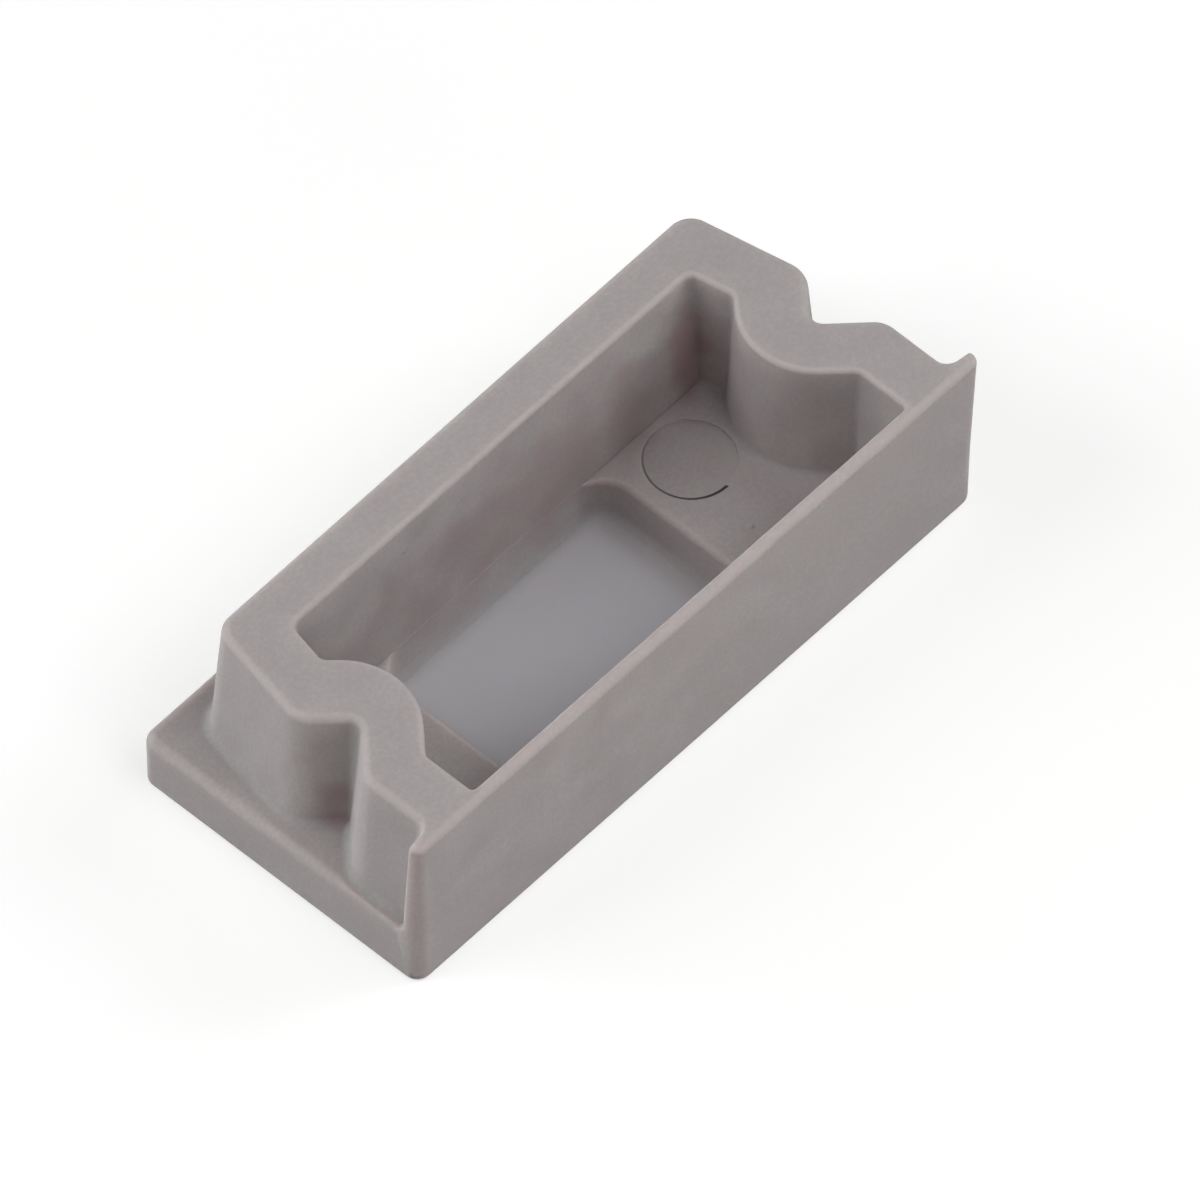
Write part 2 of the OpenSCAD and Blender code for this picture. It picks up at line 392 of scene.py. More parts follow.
@dataclass(frozen=True)
class MouldedPlastic:
    """Matt light grey plastic that lets a little light through, with a fine moulded grain.

    Attributes:
        name: Name of the material.
        pale: Colour of the paler blotches.
        deep: Colour of the deeper blotches.
        speck: Colour of the fine specks.
        thin: Paler colour painted on the thin floor, a painted glow of the light that comes through
            it.
        edge_highlight_colour: Paler colour along the rounded edges, a painted highlight.
        soil_and_shade: Colour of the small dark spots, and of the painted shade in the ejector mark's
            groove.
        painted_warm_shade: Darker, warmer colour painted in the hollows, a painted shade.
        speck_band: Noise values between which the specks fade out.
        speck_share: Share of their own colour in the specks.
        roughness: Least and greatest roughness.
        rough_band: Noise values between which the roughness grows.
        refraction: Index of refraction.
        light_depth: How far light travels inside, in millimetres.
        light_reach: Share of that for red, green and blue.
        blotch: Size of a blotch, in millimetres.
        grain: Size of the moulded grain, in millimetres.
        grain_depth: Depth of the grain, in millimetres.
        bump_strength: Strength of the grain's bump, from 0 to 1.
        painted_glow_place: Middle of the painted glow on the thin floor, in millimetres.
        painted_glow_reach: How far it reaches along each axis, in millimetres.
        painted_glow_edge: Where its soft edge starts and ends, in shares of its reach.
        place_edge: The same for the dark spots and the painted shade in the hollows, with the wander
            of their edge added.
        dark_spots: The small dark spots: two marks, and one low at the near front corner.
        shaded_hollows: Where the painted shade lies: both notches, the cavity's far right corner and
            its far wall.
    """

    name: str = "grey_moulded_plastic"
    pale: Colour = linear(182, 175, 173)
    deep: Colour = linear(166, 157, 156)
    speck: Colour = linear(156, 146, 146)
    thin: Colour = linear(190, 187, 191)
    edge_highlight_colour: Colour = linear(188, 182, 179)
    soil_and_shade: Colour = linear(68, 57, 52)
    painted_warm_shade: Colour = linear(158, 132, 134)
    speck_band: Span = (0.35, 0.7)
    speck_share: float = 0.33
    roughness: Span = (0.62, 0.82)
    rough_band: Span = (0.3, 0.7)
    refraction: float = 1.5
    light_depth: float = 0.6
    light_reach: Colour = (1.0, 0.76, 0.72)
    blotch: float = 0.9
    grain: float = 0.09
    grain_depth: float = 0.0035
    bump_strength: float = 0.5
    painted_glow_place: Place = (-0.5, -0.95, 0.45)
    painted_glow_reach: Place = (3.5, 2.6, 0.35)
    painted_glow_edge: Span = (0.75, 1.0)
    place_edge: Span = (0.7, 1.4)
    dark_spots: tuple[MarkAndShadeSpot, ...] = (
        MarkAndShadeSpot((-2.74, 1.84, 4.17), (0.12, 0.1, 0.05), 0.35),
        MarkAndShadeSpot((4.02, -1.76, 1.55), (0.09, 0.05, 0.1), 0.3),
        # A small dark spot low at the near front corner.
        MarkAndShadeSpot((-8.5, -3.78, 0.2), (0.25, 0.25, 0.12), 0.55),
    )
    # Painted shade: darker, warmer colour in both notches, the cavity's far right corner and along
    # its far wall.
    shaded_hollows: tuple[MarkAndShadeSpot, ...] = (
        MarkAndShadeSpot((-6.9, 0.0, 2.0), (1.3, 1.1, 2.8), 0.9),
        MarkAndShadeSpot((6.9, 0.0, 2.0), (1.3, 1.1, 2.8), 0.9),
        MarkAndShadeSpot((5.85, 1.9, 2.4), (1.0, 0.95, 2.9), 0.85),
        MarkAndShadeSpot((1.5, 1.5, 2.8), (9.0, 1.2, 2.3), 0.4),
    )

    def build(self) -> bpy.types.Material:
        """Builds the material.

        Returns:
            The node material.
        """
        material = bpy.data.materials.new(self.name)
        material.use_nodes = True
        nodes = ShaderNodes(material.node_tree)

        blotches = nodes.noise(self.blotch, detail=4.0)
        fine = nodes.noise(self.grain, detail=2.0)
        colour = nodes.mixed(self.deep, self.pale, blotches)
        specks = nodes.ranged(fine, self.speck_band, (self.speck_share, 0.0))
        colour = nodes.mixed(colour, self.speck, specks)
        # Painted glow: the thin floor is painted paler.
        colour = nodes.mixed(colour, self.thin, self.painted_glow_share(nodes))
        # Painted shade in the hollows.
        for hollow in self.shaded_hollows:
            colour = nodes.mixed(colour, self.painted_warm_shade, self.blot(nodes, hollow, self.blotch))
        # Painted highlight: paler colour along the rounded edges.
        colour = nodes.mixed(colour, self.edge_highlight_colour, nodes.stored(EDGE_HIGHLIGHT))
        # Painted shade in the ejector mark's groove.
        colour = nodes.mixed(colour, self.soil_and_shade, nodes.stored(GROOVE_SHADE))
        for mark in self.dark_spots:
            colour = nodes.mixed(colour, self.soil_and_shade, self.blot(nodes, mark, self.grain))

        rough = nodes.ranged(blotches, self.rough_band, self.roughness)
        bump = nodes.add("ShaderNodeBump", ("Strength", self.bump_strength),
                         ("Distance", self.grain_depth * MM), ("Height", fine))
        nodes.fill(nodes.tree.nodes["Principled BSDF"], ("IOR", self.refraction),
                   ("Subsurface Weight", 1.0), ("Subsurface Radius", self.light_reach),
                   ("Subsurface Scale", self.light_depth * MM), ("Base Color", colour),
                   ("Roughness", rough), ("Normal", bump.outputs["Normal"]))
        return material

    def painted_glow_share(self, nodes: ShaderNodes) -> Socket:
        """Finds where the painted glow lies on the thin floor, a block with a soft edge.

        Args:
            nodes: The material's nodes.

        Returns:
            The socket that is 1 on the thin floor and 0 away from it.
        """
        away = nodes.measured(self.painted_glow_place, self.painted_glow_reach, "ABSOLUTE")
        parts = nodes.add("ShaderNodeSeparateXYZ", ("Vector", away.outputs["Vector"]))
        farthest = nodes.reckoned("MAXIMUM", *parts.outputs)
        return nodes.ranged(farthest, self.painted_glow_edge, (1.0, 0.0))

    def blot(self, nodes: ShaderNodes, mark: MarkAndShadeSpot, wander_size: float) -> Socket:
        """Finds what lies in a place with a ragged edge.

        Args:
            nodes: The material's nodes.
            mark: The place.
            wander_size: Size of the noise that makes its edge wander, in millimetres.

        Returns:
            The socket with the share of its colour.
        """
        away = nodes.measured(mark.place, mark.reach, "LENGTH")
        noise = nodes.noise(wander_size, detail=1.0)
        wander = nodes.reckoned("ADD", away.outputs["Value"], noise)
        return nodes.ranged(wander, self.place_edge, (mark.strength, 0.0))


class NodeGroup(Nodes):
    """A Geometry Nodes tree with named inputs for its sizes."""

    def __init__(self, name: str) -> None:
        """Starts a tree that takes one mesh and gives one back.

        Args:
            name: Name of the tree.
        """
        super().__init__(bpy.data.node_groups.new(name, "GeometryNodeTree"))
        for way in ("INPUT", "OUTPUT"):
            self.tree.interface.new_socket("Geometry", in_out=way, socket_type="NodeSocketGeometry")
        self.source = self.tree.nodes.new("NodeGroupInput")
        self.result = self.tree.nodes.new("NodeGroupOutput")
        self.settings: dict[str, object] = {}

    def size(self, name: str, kind: str, value: object) -> Socket:
        """Adds a named input.

        Args:
            name: Name of the input.
            kind: Type of its socket, such as Float or Vector.
            value: Its value.

        Returns:
            The socket that gives the value inside the tree.
        """
        socket = self.tree.interface.new_socket(name, in_out="INPUT", socket_type=f"NodeSocket{kind}")
        self.settings[socket.identifier] = value
        return self.source.outputs[name]

    def apply(self, base: bpy.types.Object) -> None:
        """Puts the tree on an object, with its sizes set by identifier.

        Args:
            base: The object that the tree works on.
        """
        modifier = base.modifiers.new(self.tree.name, "NODES")
        modifier.node_group = self.tree
        for identifier, value in self.settings.items():
            modifier[identifier] = value


@dataclass
class EjectorMark:
    """Round sunk mark of the ejector pin, with the fine groove round part of its edge.

    Every length is in millimetres and every angle in degrees.

    Attributes:
        place: Middle of the mark, on the cavity's floor.
        diameter: Diameter of the pin.
        depth: Depth of the mark.
        reach: How far the cutter stands up above the floor.
        groove_width: Width of the groove at its end.
        groove_depth: Depth of the groove at its end.
        groove_start: Where the groove starts, counted from the length's direction.
        groove_turn: How far it runs from there.
        groove_sides: Sides of its profile.
        swell: Share of its length after which it has its full size, and its size at the start.
        dark: Share of its length after which its painted shade is full, and that shade's share at the
            start.
        segments: Segments round the pin and along the groove.
    """

    place: Place
    diameter: float = 2.0
    depth: float = 0.05
    reach: float = 0.5
    groove_width: float = 0.105
    groove_depth: float = 0.1
    groove_start: float = 43.0
    groove_turn: float = 228.0
    groove_sides: int = 8
    swell: Span = (0.95, 0.4)
    dark: Span = (1.0, 0.05)
    segments: int = 96

    def nodes(self, finish: bpy.types.Material) -> NodeGroup:
        """Builds the tree that presses the mark into the cap.

        Args:
            finish: The cap's material.

        Returns:
            The tree with its sizes.
        """
        group = NodeGroup("ejector_mark")
        place = group.size("Place", "Vector", [v * MM for v in self.place])
        radius = group.size("Radius", "Float", self.diameter / 2 * MM)
        depth = group.size("Depth", "Float", self.depth * MM)
        reach = group.size("Reach above the floor", "Float", self.reach * MM)
        profile = [self.groove_width / 2 * MM, self.groove_depth * MM, 1]
        groove = group.size("Groove", "Vector", profile)
        start = group.size("Groove start", "Float", math.radians(self.groove_start))
        turn = group.size("Groove turn", "Float", math.radians(self.groove_turn))
        segments = group.size("Segments", "Int", self.segments)
        surface = group.size("Finish", "Material", finish)

        height = group.reckoned("ADD", depth, reach)
        pin = group.add("GeometryNodeMeshCylinder", ("Vertices", segments), ("Radius", radius),
                        ("Depth", height))
        above = group.reckoned("SUBTRACT", reach, depth)
        up = group.add("ShaderNodeCombineXYZ", ("Z", group.reckoned("MULTIPLY", above, 0.5)))
        pin = group.add("GeometryNodeTransform", ("Geometry", pin.outputs["Mesh"]),
                        ("Translation", up.outputs[0]))

        path = group.add("GeometryNodeCurveArc", ("Resolution", segments), ("Radius", radius),
                         ("Start Angle", start), ("Sweep Angle", turn))
        along = group.add("GeometryNodeSplineParameter")
        swell, dark = (
            group.add("ShaderNodeMapRange", ("Value", along.outputs["Factor"]),
                      ("From Max", reached), ("To Min", low), interpolation_type="SMOOTHSTEP")
            for reached, low in (self.swell, self.dark)
        )
        # The groove carries painted shade, growing darker along it, for the material to read.
        path = group.add("GeometryNodeStoreNamedAttribute", ("Geometry", path.outputs["Curve"]),
                         ("Name", GROOVE_SHADE), ("Value", dark.outputs["Result"]),
                         data_type="FLOAT", domain="POINT")
        edge = group.add("GeometryNodeCurvePrimitiveCircle", ("Resolution", self.groove_sides),
                         ("Radius", 1.0))
        edge = group.add("GeometryNodeTransform", ("Geometry", edge.outputs["Curve"]),
                         ("Scale", groove))
        sweep = group.add("GeometryNodeCurveToMesh", ("Curve", path.outputs["Geometry"]),
                          ("Profile Curve", edge.outputs["Geometry"]),
                          ("Scale", swell.outputs["Result"]), ("Fill Caps", True))
        soil_and_shade = group.add("GeometryNodeInputNamedAttribute", ("Name", GROOVE_SHADE), data_type="FLOAT")
        shaded_groove = group.add("GeometryNodeStoreNamedAttribute", ("Geometry", sweep.outputs["Mesh"]),
                           ("Name", GROOVE_SHADE), ("Value", soil_and_shade.outputs["Attribute"]), data_type="FLOAT",
                           domain="FACE")

        cut = group.add("GeometryNodeMeshBoolean", ("Mesh 1", group.source.outputs["Geometry"]),
                        operation="DIFFERENCE", solver="EXACT")
        for tool in (pin, shaded_groove):
            moved = group.add("GeometryNodeTransform", ("Geometry", tool.outputs["Geometry"]),
                              ("Translation", place))
            group.fill(cut, ("Mesh 2", moved.outputs["Geometry"]))
        crease = group.add("GeometryNodeSetShadeSmooth", ("Geometry", cut.outputs["Mesh"]),
                           ("Selection", cut.outputs["Intersecting Edges"]),
                           ("Shade Smooth", False), domain="EDGE")
        real = group.add("GeometryNodeRealizeInstances", ("Geometry", crease.outputs["Geometry"]))
        dressed = group.add("GeometryNodeSetMaterial", ("Geometry", real.outputs["Geometry"]),
                            ("Material", surface))
        group.fill(group.result, ("Geometry", dressed.outputs["Geometry"]))
        return group


def join_flat_faces(mesh: bpy.types.Mesh) -> None:
    """Joins the triangles of each flat face, so that its shading stays even.

    Args:
        mesh: The mesh, which is changed.
    """
    edit = bmesh.new()
    edit.from_mesh(mesh)
    bmesh.ops.dissolve_limit(edit, angle_limit=FLAT_ANGLE, verts=edit.verts, edges=edit.edges)
    edit.to_mesh(mesh)
    edit.free()


def made_plain(source: bpy.types.Object, name: str) -> bpy.types.Object:
    """Turns an object with live modifiers into a plain mesh object.

    Args:
        source: The object, which is removed.
        name: Name of the plain object.

    Returns:
        The plain object, at the origin.
    """
    evaluated = source.evaluated_get(bpy.context.evaluated_depsgraph_get())
    mesh = bpy.data.meshes.new_from_object(evaluated)
    mesh.name = name
    source.modifiers.clear()
    bpy.data.objects.remove(source)
    plain = bpy.data.objects.new(name, mesh)
    bpy.context.collection.objects.link(plain)
    return plain


@dataclass
class EndCap:
    """The moulded cap: plate, hollow plug, thin front wall, cavity and recess.

    Every length is in millimetres and every angle in degrees. The far side is at +Y and the
    thin front wall at -Y. A setback is measured at the seat, from the plate's outline. Each end
    of each section has 7 * (corner_steps + 1) points, so that the sections match one by one.
    """

    length: float
    width: float
    height: float
    # Segments in each rounded corner of a section, and sections in each rounded edge or fillet.
    corner_steps: int = 14
    edge_steps: int = 8

    # Plate, with the draft of all outside faces.
    plate_thick: float = 1.6
    shell_draft: float = 1.2
    far_corner_radius: float = 0.35
    front_corner_radius: float = 0.35
    outer_edge_radius: float = 0.18
    seat_edge_radius: float = 0.25
    seat_edge_room: float = 0.8

    # Plug: how far it stands back from the plate, its walls, draft and rounding.
    far_setback: float = 0.66
    end_setback: float = 1.15
    far_wall: float = 1.14
    end_wall: float = 1.34
    plug_draft: float = 4.0
    rim_radius: float = 0.18
    foot_radius: float = 0.22
    plug_corner_radius: float = 0.55

    # Its ends: the part that leans outwards, the notch, and the bulge that the notch makes inside.
    lean_run: float = 2.87
    lean_angle: float = 11.6
    notch_depth: float = 0.94
    front_setback: float = 0.4
    notch_wall: float = 1.42
    bulge_shift: float = 0.18
    notch_radius: float = 0.3
    far_shoulder_radius: float = 0.7
    front_shoulder_radius: float = 0.6

    # Front wall and its fins.
    front_thick: float = 0.28
    fin_taper: float = 0.08
    fin_root_radius: float = 0.35
    fin_tip_radius: float = 0.05
    fin_top_radius: float = 0.04
    front_top_radius: float = 0.2

    # Cavity.
    floor_height: float = 1.55
    cavity_draft: float = 2.5
    far_draft: float = 6.0
    inner_rim_radius: float = 0.12
    front_inner_radius: float = 0.05
    cavity_corner_radius: float = 0.25
    cavity_front_radius: float = 0.12
    bulge_margin: float = 0.25
    floor_radius: float = 0.15
    long_floor_radius: float = 0.02
    far_floor_radius: float = 0.002

    # Recess: its floor, the floors beside it and the ledges before and behind it.
    recess_height: float = 0.5
    left_pad: float = 1.3
    right_pad: float = 2.3
    recess_ledge: float = 0.1
    far_ledge: float = 0.002
    recess_corner_radius: float = 0.8
    recess_draft: float = 4.0
    recess_floor_radius: float = 0.2
    far_foot_radius: float = 0.08
    recess_mouth_radius: float = 0.15

    # Ejector mark: its size, its distance from the plate's right end and its place across.
    pin_diameter: float = 2.0
    pin_depth: float = 0.05
    pin_end: float = 4.18
    pin_y: float = 0.36

    # Painted highlight along the outer edge, seat edge, foot, rim outside, rim inside, floor, mouth
    # and recess: share of the paler colour on each.
    painted_edge_highlight: tuple[float, ...] = (0.15, 0.0, 0.0, 0.3, 0.3, 0.0, 0.0, 0.0)
    finish: MouldedPlastic = field(default_factory=MouldedPlastic)

    @classmethod
    def from_frame(cls) -> "EndCap":
        """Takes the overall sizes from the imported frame.

        Returns:
            The cap with those sizes.
        """
        low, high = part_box(NODE)
        length, width, height = ((b - a) / MM for a, b in zip(low, high))
        return cls(length, width, height)

    @property
    def front_widest(self) -> float:
        """Height at which the front wall is widest, below the rounding of its top."""
        return self.height - self.rim_radius

    @property
    def rim(self) -> Outline:
        """Outside of the rim, with the fin at the front.

        Returns:
            The outline of one end.
        """
        steps = self.corner_steps
        lean = self.plug_flare(self.plate_thick)
        far = (self.length / 2 - self.end_setback - lean, self.width / 2 - self.far_setback - lean)
        leant = self.lean_run * math.tan(math.radians(self.lean_angle))
        shoulder = (far[0] + leant, far[1] - self.lean_run)
        notch = (shoulder[0] - self.notch_depth, shoulder[1] - self.notch_depth)
        rise = self.length / 2 - self.front_setback - lean - notch[0]
        front = (notch[0] + rise, notch[1] - rise)
        fin_inside = -self.width / 2 + self.front_thick
        return Outline((
            Corner(self.length / 2, -self.width / 2, self.front_corner_radius, steps),
            Corner(self.length / 2, fin_inside, self.fin_tip_radius, steps),
            Corner(front[0], fin_inside + self.fin_taper, self.fin_root_radius, steps),
            Corner(*front, self.front_shoulder_radius, steps),
            Corner(*notch, self.notch_radius, steps),
            Corner(*shoulder, self.far_shoulder_radius, steps),
            Corner(*far, self.plug_corner_radius, steps),
        ))

    @property
    def cavity(self) -> Outline:
        """Inside of the rim, one wall in from the outside.

        Returns:
            The outline of one end.
        """
        front, notch, shoulder, far = self.rim.corners[3:]
        steps, radius = self.corner_steps, self.cavity_corner_radius
        guide = Outline((Corner(front.x, -self.width / 2, 0, 0), front, notch, shoulder, far))
        skew = self.bulge_shift / math.sqrt(2)
        walls = (self.front_thick, self.end_wall, self.notch_wall - skew, self.notch_wall + skew,
                 self.end_wall, self.far_wall)
        places = guide.moved(walls)
        room = min(np.linalg.norm(places[2] - places[1]), np.linalg.norm(places[3] - places[2]))
        bulge = min(self.notch_radius + self.notch_wall, room - self.bulge_margin)
        radii = (self.cavity_front_radius, radius, bulge, radius, radius)
        counts = (2 * (steps + 1) - 1, steps, steps, steps, steps)
        return Outline(tuple(Corner(x, y, r, n) for (x, y), r, n in zip(places, radii, counts)))

    @property
    def recess_shift(self) -> float:
        """Where the middle of the recess lies along the length."""
        return (self.left_pad - self.right_pad) / 2

    @property
    def recess(self) -> Outline:
        """Mouth of the recess in the cavity's floor.

        Returns:
            The outline of one end, about the recess's own middle.
        """
        steps = self.corner_steps
        inset = self.cavity_insets(self.floor_height)
        bulge = self.cavity.corners[2]
        foot = bulge.x + (math.sqrt(2) - 1) * bulge.radius - inset[2] - self.floor_radius
        half = foot - (self.left_pad + self.right_pad) / 2
        front = -self.width / 2 + self.front_thick
        low = front + inset[0] + self.long_floor_radius + self.recess_ledge
        far = self.rim.corners[-1].y - self.far_wall
        high = far - inset[-1] - self.far_floor_radius - self.far_ledge
        return Outline((
            Corner(half, low, self.recess_corner_radius, 4 * (steps + 1) - 1),
            Corner(half, high, self.recess_corner_radius, 3 * (steps + 1) - 1),
        ))

    def shell_inset(self, height: float, widest: float) -> float:
        """How far the outside faces stand back below the height at which they are widest."""
        return (widest - height) * math.tan(math.radians(self.shell_draft))

    def plug_flare(self, height: float) -> float:
        """How far the plug's outer walls stand out below the rim."""
        return (self.height - height) * math.tan(math.radians(self.plug_draft))

    def cavity_insets(self, height: float) -> list[float]:
        """How far each of the cavity's walls stands in below the rim."""
        drafts = [self.cavity_draft] * 5 + [self.far_draft]
        return [(self.height - height) * math.tan(math.radians(draft)) for draft in drafts]

    def plug_outline(self, height: float, fillet: float = 0.0, rounding: float = 0.0) -> np.ndarray:
        """Draws the plug and the front wall at one height.

        Args:
            height: Height above the outer face.
            fillet: How far the foot's fillet stands out.
            rounding: Share of the rounding along the rim.

        Returns:
            The points of one end, one row each.
        """
        shell = self.shell_inset(height, self.front_widest)
        plug = -(self.plug_flare(height) + fillet)
        rounds = [self.front_top_radius] * 2 + [self.fin_top_radius] + [self.rim_radius] * 5
        inset = [(shell if i < 2 else plug) + r * rounding for i, r in enumerate(rounds)]
        corner = self.front_corner(height, inset[0], rounds[0] * rounding)
        return np.vstack((corner, self.rim.points(inset)[self.corner_steps + 1:]))

    def front_corner(self, height: float, inset: float, rounding: float) -> np.ndarray:
        """Draws a front corner, as round as the fin's thickness allows.

        Args:
            height: Height above the outer face.
            inset: How far the front and the end stand back.
            rounding: How much of that is the rounding of an edge.

        Returns:
            The points of the corner, one row each.
        """
        flare = self.plug_flare(height) - self.shell_inset(height, self.front_widest)
        room = self.front_thick + max(0.0, flare) - self.fin_tip_radius - LEAST_RADIUS
        radius = max(LEAST_RADIUS, min(self.front_corner_radius, room) - rounding)
        place = np.array((self.length / 2 - inset, inset - self.width / 2))
        return rounded_corner(place, EAST, NORTH, radius, self.corner_steps)

    def plate_outline(self, height: float, inset: float, seat_inset: float) -> np.ndarray:
        """Draws the plate at one height, on the plug's stations along the width.

        Args:
            height: Height above the outer face.
            inset: How far the rounding of the outer edge stands back there.
            seat_inset: How far the rounding of the seat's edge stands back there.

        Returns:
            The points of one end, one row each.
        """
        steps = self.corner_steps
        foot = self.plug_outline(self.plate_thick, fillet=self.foot_radius)[steps + 1:-steps - 1]
        front_inset = self.shell_inset(height, self.front_widest) + inset
        far_draft = self.shell_inset(height, self.plate_thick - self.seat_edge_radius)
        far_inset = far_draft + inset + seat_inset
        end = self.length / 2 - front_inset
        far_radius = max(LEAST_RADIUS, self.far_corner_radius - far_inset)
        seat_end = self.length / 2 - self.shell_inset(self.plate_thick, self.front_widest)
        ledge = seat_end - foot[:, 0]
        share = np.clip(self.seat_edge_room * ledge / self.seat_edge_radius, 0, 1)
        far = np.array((end - seat_inset, self.width / 2 - far_inset))
        return np.vstack((
            self.front_corner(self.plate_thick, front_inset, inset),
            np.column_stack((end - share * seat_inset, foot[:, 1])),
            rounded_corner(far, NORTH, WEST, far_radius, steps),
        ))

    def cavity_outline(self, height: float, fillet: float = 0.0, rounding: float = 0.0) -> np.ndarray:
        """Draws the cavity at one height.

        Args:
            height: Height above the outer face.
            fillet: Share of the fillet round the floor.
            rounding: Share of the rounding along the rim.

        Returns:
            The points of one end, one row each.
        """
        inset = self.cavity_insets(height)
        floor = [self.long_floor_radius] + [self.floor_radius] * 4 + [self.far_floor_radius]
        rim = [self.front_inner_radius] + [self.inner_rim_radius] * 5
        shifts = [i + f * fillet - r * rounding for i, f, r in zip(inset, floor, rim)]
        ends = self.cavity.points(shifts)
        run = self.corner_steps + 1
        start = self.recess.corners[0].x - self.recess_corner_radius + abs(self.recess_shift)
        along = start + (ends[0, 0] - start) * np.arange(1, run + 1) / (run + 1)
        return np.vstack((np.column_stack((along, np.full(run, ends[0, 1]))), ends))

    def recess_outline(self, height: float, fillet: float = 0.0, rounding: float = 0.0) -> np.ndarray:
        """Draws the recess at one height.

        Args:
            height: Height above the outer face.
            fillet: Share of the fillet round its floor.
            rounding: How far the rounding of its mouth stands out at the end.

        Returns:
            The points of one end, one row each.
        """
        drafts = (self.recess_draft, self.recess_draft, self.far_draft)
        rounds = (self.recess_floor_radius, self.recess_floor_radius, self.far_foot_radius)
        depth = self.floor_height - height
        front, end, far = (
            depth * math.tan(math.radians(draft)) + r * fillet for draft, r in zip(drafts, rounds)
        )
        return self.recess.points([front, end - rounding, far])

    def sections(self) -> list[np.ndarray]:
        """Stacks the sections from the outer face over the rim to the recess's floor.

        Returns:
            The closed sections, in the order of painted_edge_highlight.
        """
        edge, seat, foot = self.outer_edge_radius, self.seat_edge_radius, self.foot_radius
        mouth = self.recess_mouth_radius
        plate, plug = self.plate_outline, self.plug_outline
        cavity, recess = self.cavity_outline, self.recess_outline
        # Level, radius and outline of each edge or fillet, which lies below its level where the
        # radius is negative.
        outside = (
            (0.0, edge, lambda z, share: plate(z, edge * share, 0)),
            (self.plate_thick, -seat, lambda z, share: plate(z, 0, seat * share)),
            (self.plate_thick, foot, lambda z, share: plug(z, fillet=foot * share)),
            (self.height, -self.rim_radius, lambda z, share: plug(z, rounding=share)),
        )
        inside = (
            (self.height, -self.inner_rim_radius, lambda z, share: cavity(z, rounding=share)),
            (self.floor_height, self.floor_radius, lambda z, share: cavity(z, fillet=share)),
        )
        sunk = (
            (self.floor_height, -mouth, lambda z, share: recess(z, rounding=mouth * share)),
            (self.recess_height, self.recess_floor_radius,
             lambda z, share: recess(z, fillet=share)),
        )
        rising = np.linspace(0, math.pi / 2, self.edge_steps + 1)
        falling = rising[::-1]
        runs = ((outside, rising, 0.0), (inside, falling, 0.0), (sunk, falling, self.recess_shift))
        stack: list[np.ndarray] = []
        for edges, angles, middle in runs:
            for level, radius, draw in edges:
                for angle in angles:
                    growing, waning = 1 - math.cos(angle), 1 - math.sin(angle)
                    rise, share = (growing, waning) if radius > 0 else (waning, growing)
                    z = level + radius * rise
                    stack.append(section(draw(z, share), z, middle))
        return stack

    def edge_highlight_shares(self, count: int) -> np.ndarray:
        """Finds how much painted highlight each point gets, one rounded edge or fillet after the
        other.

        Args:
            count: Points in each section.

        Returns:
            The share of the painted highlight at every point, from 0 to 1.
        """
        arch = np.sin(np.linspace(0, math.pi, self.edge_steps + 1))
        return np.repeat(np.concatenate([share * arch for share in self.painted_edge_highlight]), count)

    def build(self) -> bpy.types.Object:
        """Builds and dresses the cap.

        Returns:
            The finished piece, at the origin.
        """
        stack = self.sections()
        points = np.vstack(stack)
        count = len(stack[0])
        faces = skin_faces(points, count)
        mesh = bpy.data.meshes.new("moulding_skin")
        mesh.from_pydata((points * MM).tolist(), [], faces.tolist())
        # Painted highlight along the rounded edges, one share per point.
        highlight_layer = mesh.attributes.new(EDGE_HIGHLIGHT, "FLOAT", "POINT")
        highlight_layer.data.foreach_set("value", self.edge_highlight_shares(count))
        join_flat_faces(mesh)
        mesh.validate()
        mesh.shade_smooth()
        skin = bpy.data.objects.new("moulding_skin", mesh)
        bpy.context.collection.objects.link(skin)

        place = (self.length / 2 - self.pin_end, self.pin_y, self.floor_height)
        mark = EjectorMark(place, self.pin_diameter, self.pin_depth)
        mark.nodes(self.finish.build()).apply(skin)
        weights = skin.modifiers.new("flat_faces_stay_flat", "WEIGHTED_NORMAL")
        weights.mode = "FACE_AREA"
        weights.weight = 100
        weights.keep_sharp = True
        return made_plain(skin, "cap_moulding")


def direction(azimuth: float, elevation: float) -> Vector:
    """Finds the direction from the cap to a place round it.

    Args:
        azimuth: Angle round the cap, 0 at the front and 90 at the right end, in degrees.
        elevation: Angle above the floor, in degrees.

    Returns:
        The unit direction.
    """
    a, e = math.radians(azimuth), math.radians(elevation)
    return Vector((math.sin(a) * math.cos(e), -math.cos(a) * math.cos(e), math.sin(e)))


@dataclass(frozen=True)
class Lamp:
    """One soft round lamp that faces the cap.

    Attributes:
        name: Name of the lamp.
        azimuth: Angle round the cap, in degrees.
        elevation: Angle above the floor, in degrees.
        power: Power, in watts.
        colour: Colour of its light.
        size: Diameter, in millimetres.
        distance: Distance from the cap, in millimetres.
    """

    name: str
    azimuth: float
    elevation: float
    power: float
    colour: Colour
    size: float = 90.0
    distance: float = 150.0

    def build(self) -> bpy.types.Object:
        """Builds the lamp.

        Returns:
            The lamp.
        """
        back = direction(self.azimuth, self.elevation)
        data = bpy.data.lights.new(self.name, "AREA")
        data.shape = "DISK"
        data.size = self.size * MM
        data.energy = self.power
        data.color = self.colour
        lamp = bpy.data.objects.new(self.name, data)
        lamp.location = back * self.distance * MM
        lamp.rotation_mode = "QUATERNION"
        lamp.rotation_quaternion = back.to_track_quat("Z", "Y")
        bpy.context.collection.objects.link(lamp)
        return lamp


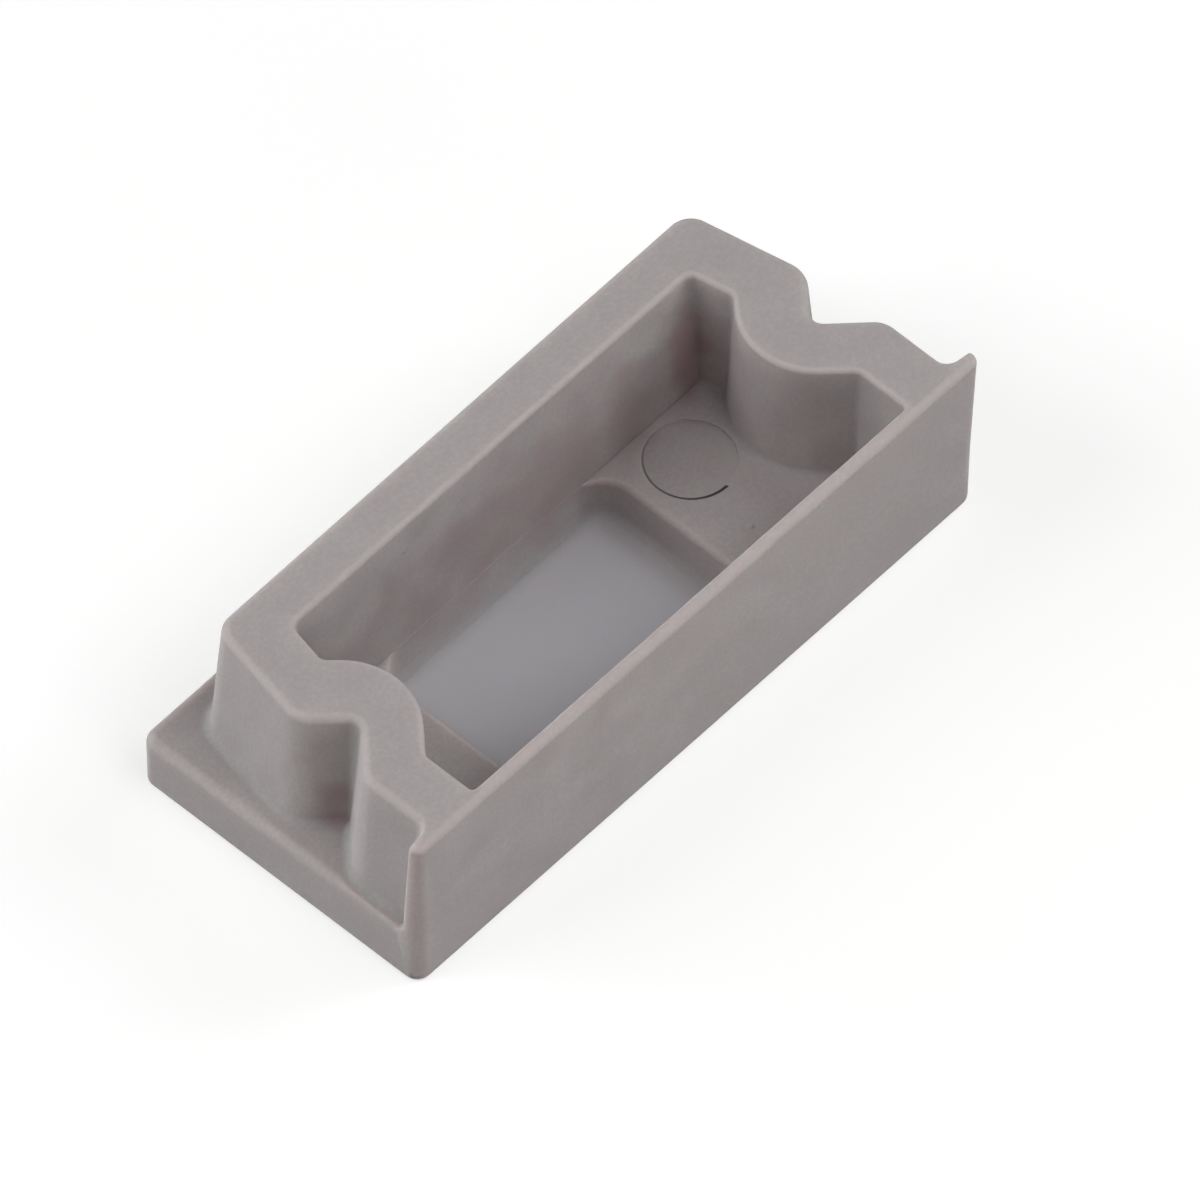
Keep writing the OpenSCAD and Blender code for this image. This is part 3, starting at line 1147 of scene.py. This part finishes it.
@dataclass
class Studio:
    """Pale floor, soft lamps and the camera at the photograph's angle.

    Attributes:
        azimuth: Angle of the camera round the cap, in degrees.
        elevation: Its angle above the floor, in degrees.
        view_width: Width of the view, in millimetres.
        shift_right: How far the view's middle lies right of the origin, in millimetres.
        shift_up: How far it lies above it in the picture, in millimetres.
        distance: Distance of the camera, in millimetres.
        clip: Nearest and farthest distance that the camera sees, in millimetres.
        floor_size: Length of the floor's sides, in millimetres.
        floor_colour: Colour of the floor.
        floor_roughness: Roughness of the floor.
        floor_shine: Strength of its reflections.
        floor_glow: What the camera sees it give off, where 1 is white.
        room_colour: Colour of the room's even light.
        room_strength: Strength of that light.
        lamps: The lamps.
    """

    azimuth: float = -47.3
    elevation: float = 54.65
    view_width: float = 24.87
    shift_right: float = 0.848
    shift_up: float = 0.816
    distance: float = 400.0
    clip: Span = (1.0, 4000.0)
    floor_size: float = 600.0
    floor_colour: Colour = linear(188, 186, 184)
    floor_roughness: float = 0.9
    floor_shine: float = 0.1
    floor_glow: float = 0.6
    room_colour: Colour = (1.0, 0.85, 0.85)
    room_strength: float = 0.02
    lamps: tuple[Lamp, ...] = (
        Lamp("left", azimuth=-120, elevation=40, power=0.09, colour=(0.94, 0.95, 0.97)),
        Lamp("left_low", azimuth=-150, elevation=15, power=0.088, colour=(0.9, 1, 1)),
        Lamp("front_low", azimuth=-10, elevation=15, power=0.05, colour=(0.94, 0.98, 1)),
        Lamp("front_high", azimuth=0, elevation=65, power=0.064, colour=(0.94, 0.95, 0.97)),
        Lamp("right", azimuth=60, elevation=40, power=0.088, colour=(0.95, 1, 1)),
    )

    def camera(self) -> bpy.types.Object:
        """Makes the camera.

        Returns:
            The camera, set as the scene's.
        """
        back = direction(self.azimuth, self.elevation)
        right = direction(self.azimuth + 90, 0)
        up = back.cross(right)
        data = bpy.data.cameras.new("camera")
        data.type = "ORTHO"
        data.ortho_scale = self.view_width * MM
        data.clip_start, data.clip_end = (distance * MM for distance in self.clip)
        camera = bpy.data.objects.new("camera", data)
        place = (right * self.shift_right + up * self.shift_up + back * self.distance) * MM
        turned = Matrix((right, up, back)).transposed().to_4x4()
        camera.matrix_world = Matrix.Translation(place) @ turned
        bpy.context.collection.objects.link(camera)
        bpy.context.scene.camera = camera
        return camera

    def floor(self) -> bpy.types.Object:
        """Makes the floor that the cap lies on.

        Returns:
            The floor.
        """
        half = self.floor_size * MM / 2
        mesh = bpy.data.meshes.new("floor")
        square = [(-half, -half, 0), (half, -half, 0), (half, half, 0), (-half, half, 0)]
        mesh.from_pydata(square, [], [(0, 1, 2, 3)])
        mesh.materials.append(self.floor_finish())
        floor = bpy.data.objects.new("floor", mesh)
        bpy.context.collection.objects.link(floor)
        return floor

    def floor_finish(self) -> bpy.types.Material:
        """Makes the pale paper that shows white and keeps the shadow.

        Returns:
            The floor's material.
        """
        material = bpy.data.materials.new("pale_floor")
        material.use_nodes = True
        nodes = ShaderNodes(material.node_tree)
        glow = nodes.reckoned("MULTIPLY", nodes.seen_directly(), self.floor_glow)
        shader = nodes.tree.nodes["Principled BSDF"]
        nodes.fill(shader, ("Base Color", (*self.floor_colour, 1)), ("Emission Color", WHITE),
                   ("Emission Strength", glow), ("Roughness", self.floor_roughness),
                   ("Specular IOR Level", self.floor_shine))
        return material

    def world(self) -> None:
        """Gives the room its even light, and white where the camera sees past the floor."""
        world = bpy.data.worlds.new("room")
        world.use_nodes = True
        nodes = ShaderNodes(world.node_tree)
        room = nodes.tree.nodes["Background"]
        nodes.fill(room, ("Color", (*self.room_colour, 1)), ("Strength", self.room_strength))
        white = nodes.add("ShaderNodeBackground", ("Color", WHITE))
        shown = nodes.add("ShaderNodeMixShader", ("Fac", nodes.seen_directly()),
                          (1, room.outputs["Background"]), (2, white.outputs["Background"]))
        nodes.fill(nodes.tree.nodes["World Output"], ("Surface", shown.outputs["Shader"]))
        bpy.context.scene.world = world

    def build(self) -> None:
        """Sets the stage, the light and the camera."""
        bpy.context.scene.view_settings.view_transform = "Standard"
        self.floor()
        self.world()
        for lamp in self.lamps:
            lamp.build()
        self.camera()


def corners(box: Iterable[Iterable[float]]) -> list[list[float]]:
    """Plain numbers of a box's two corners."""
    return [[float(value) for value in corner] for corner in box]


def main() -> None:
    """Builds the cap and its studio."""
    logging.basicConfig(level=logging.INFO, format="%(message)s")
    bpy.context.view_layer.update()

    cap = EndCap.from_frame().build()
    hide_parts(NODE)
    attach(cap, BODY)
    log.info("%s: %d faces", cap.name, len(cap.data.polygons))

    Studio().build()
    log.info("studio: floor, lamps and camera")


if __name__ == "__main__":
    main()
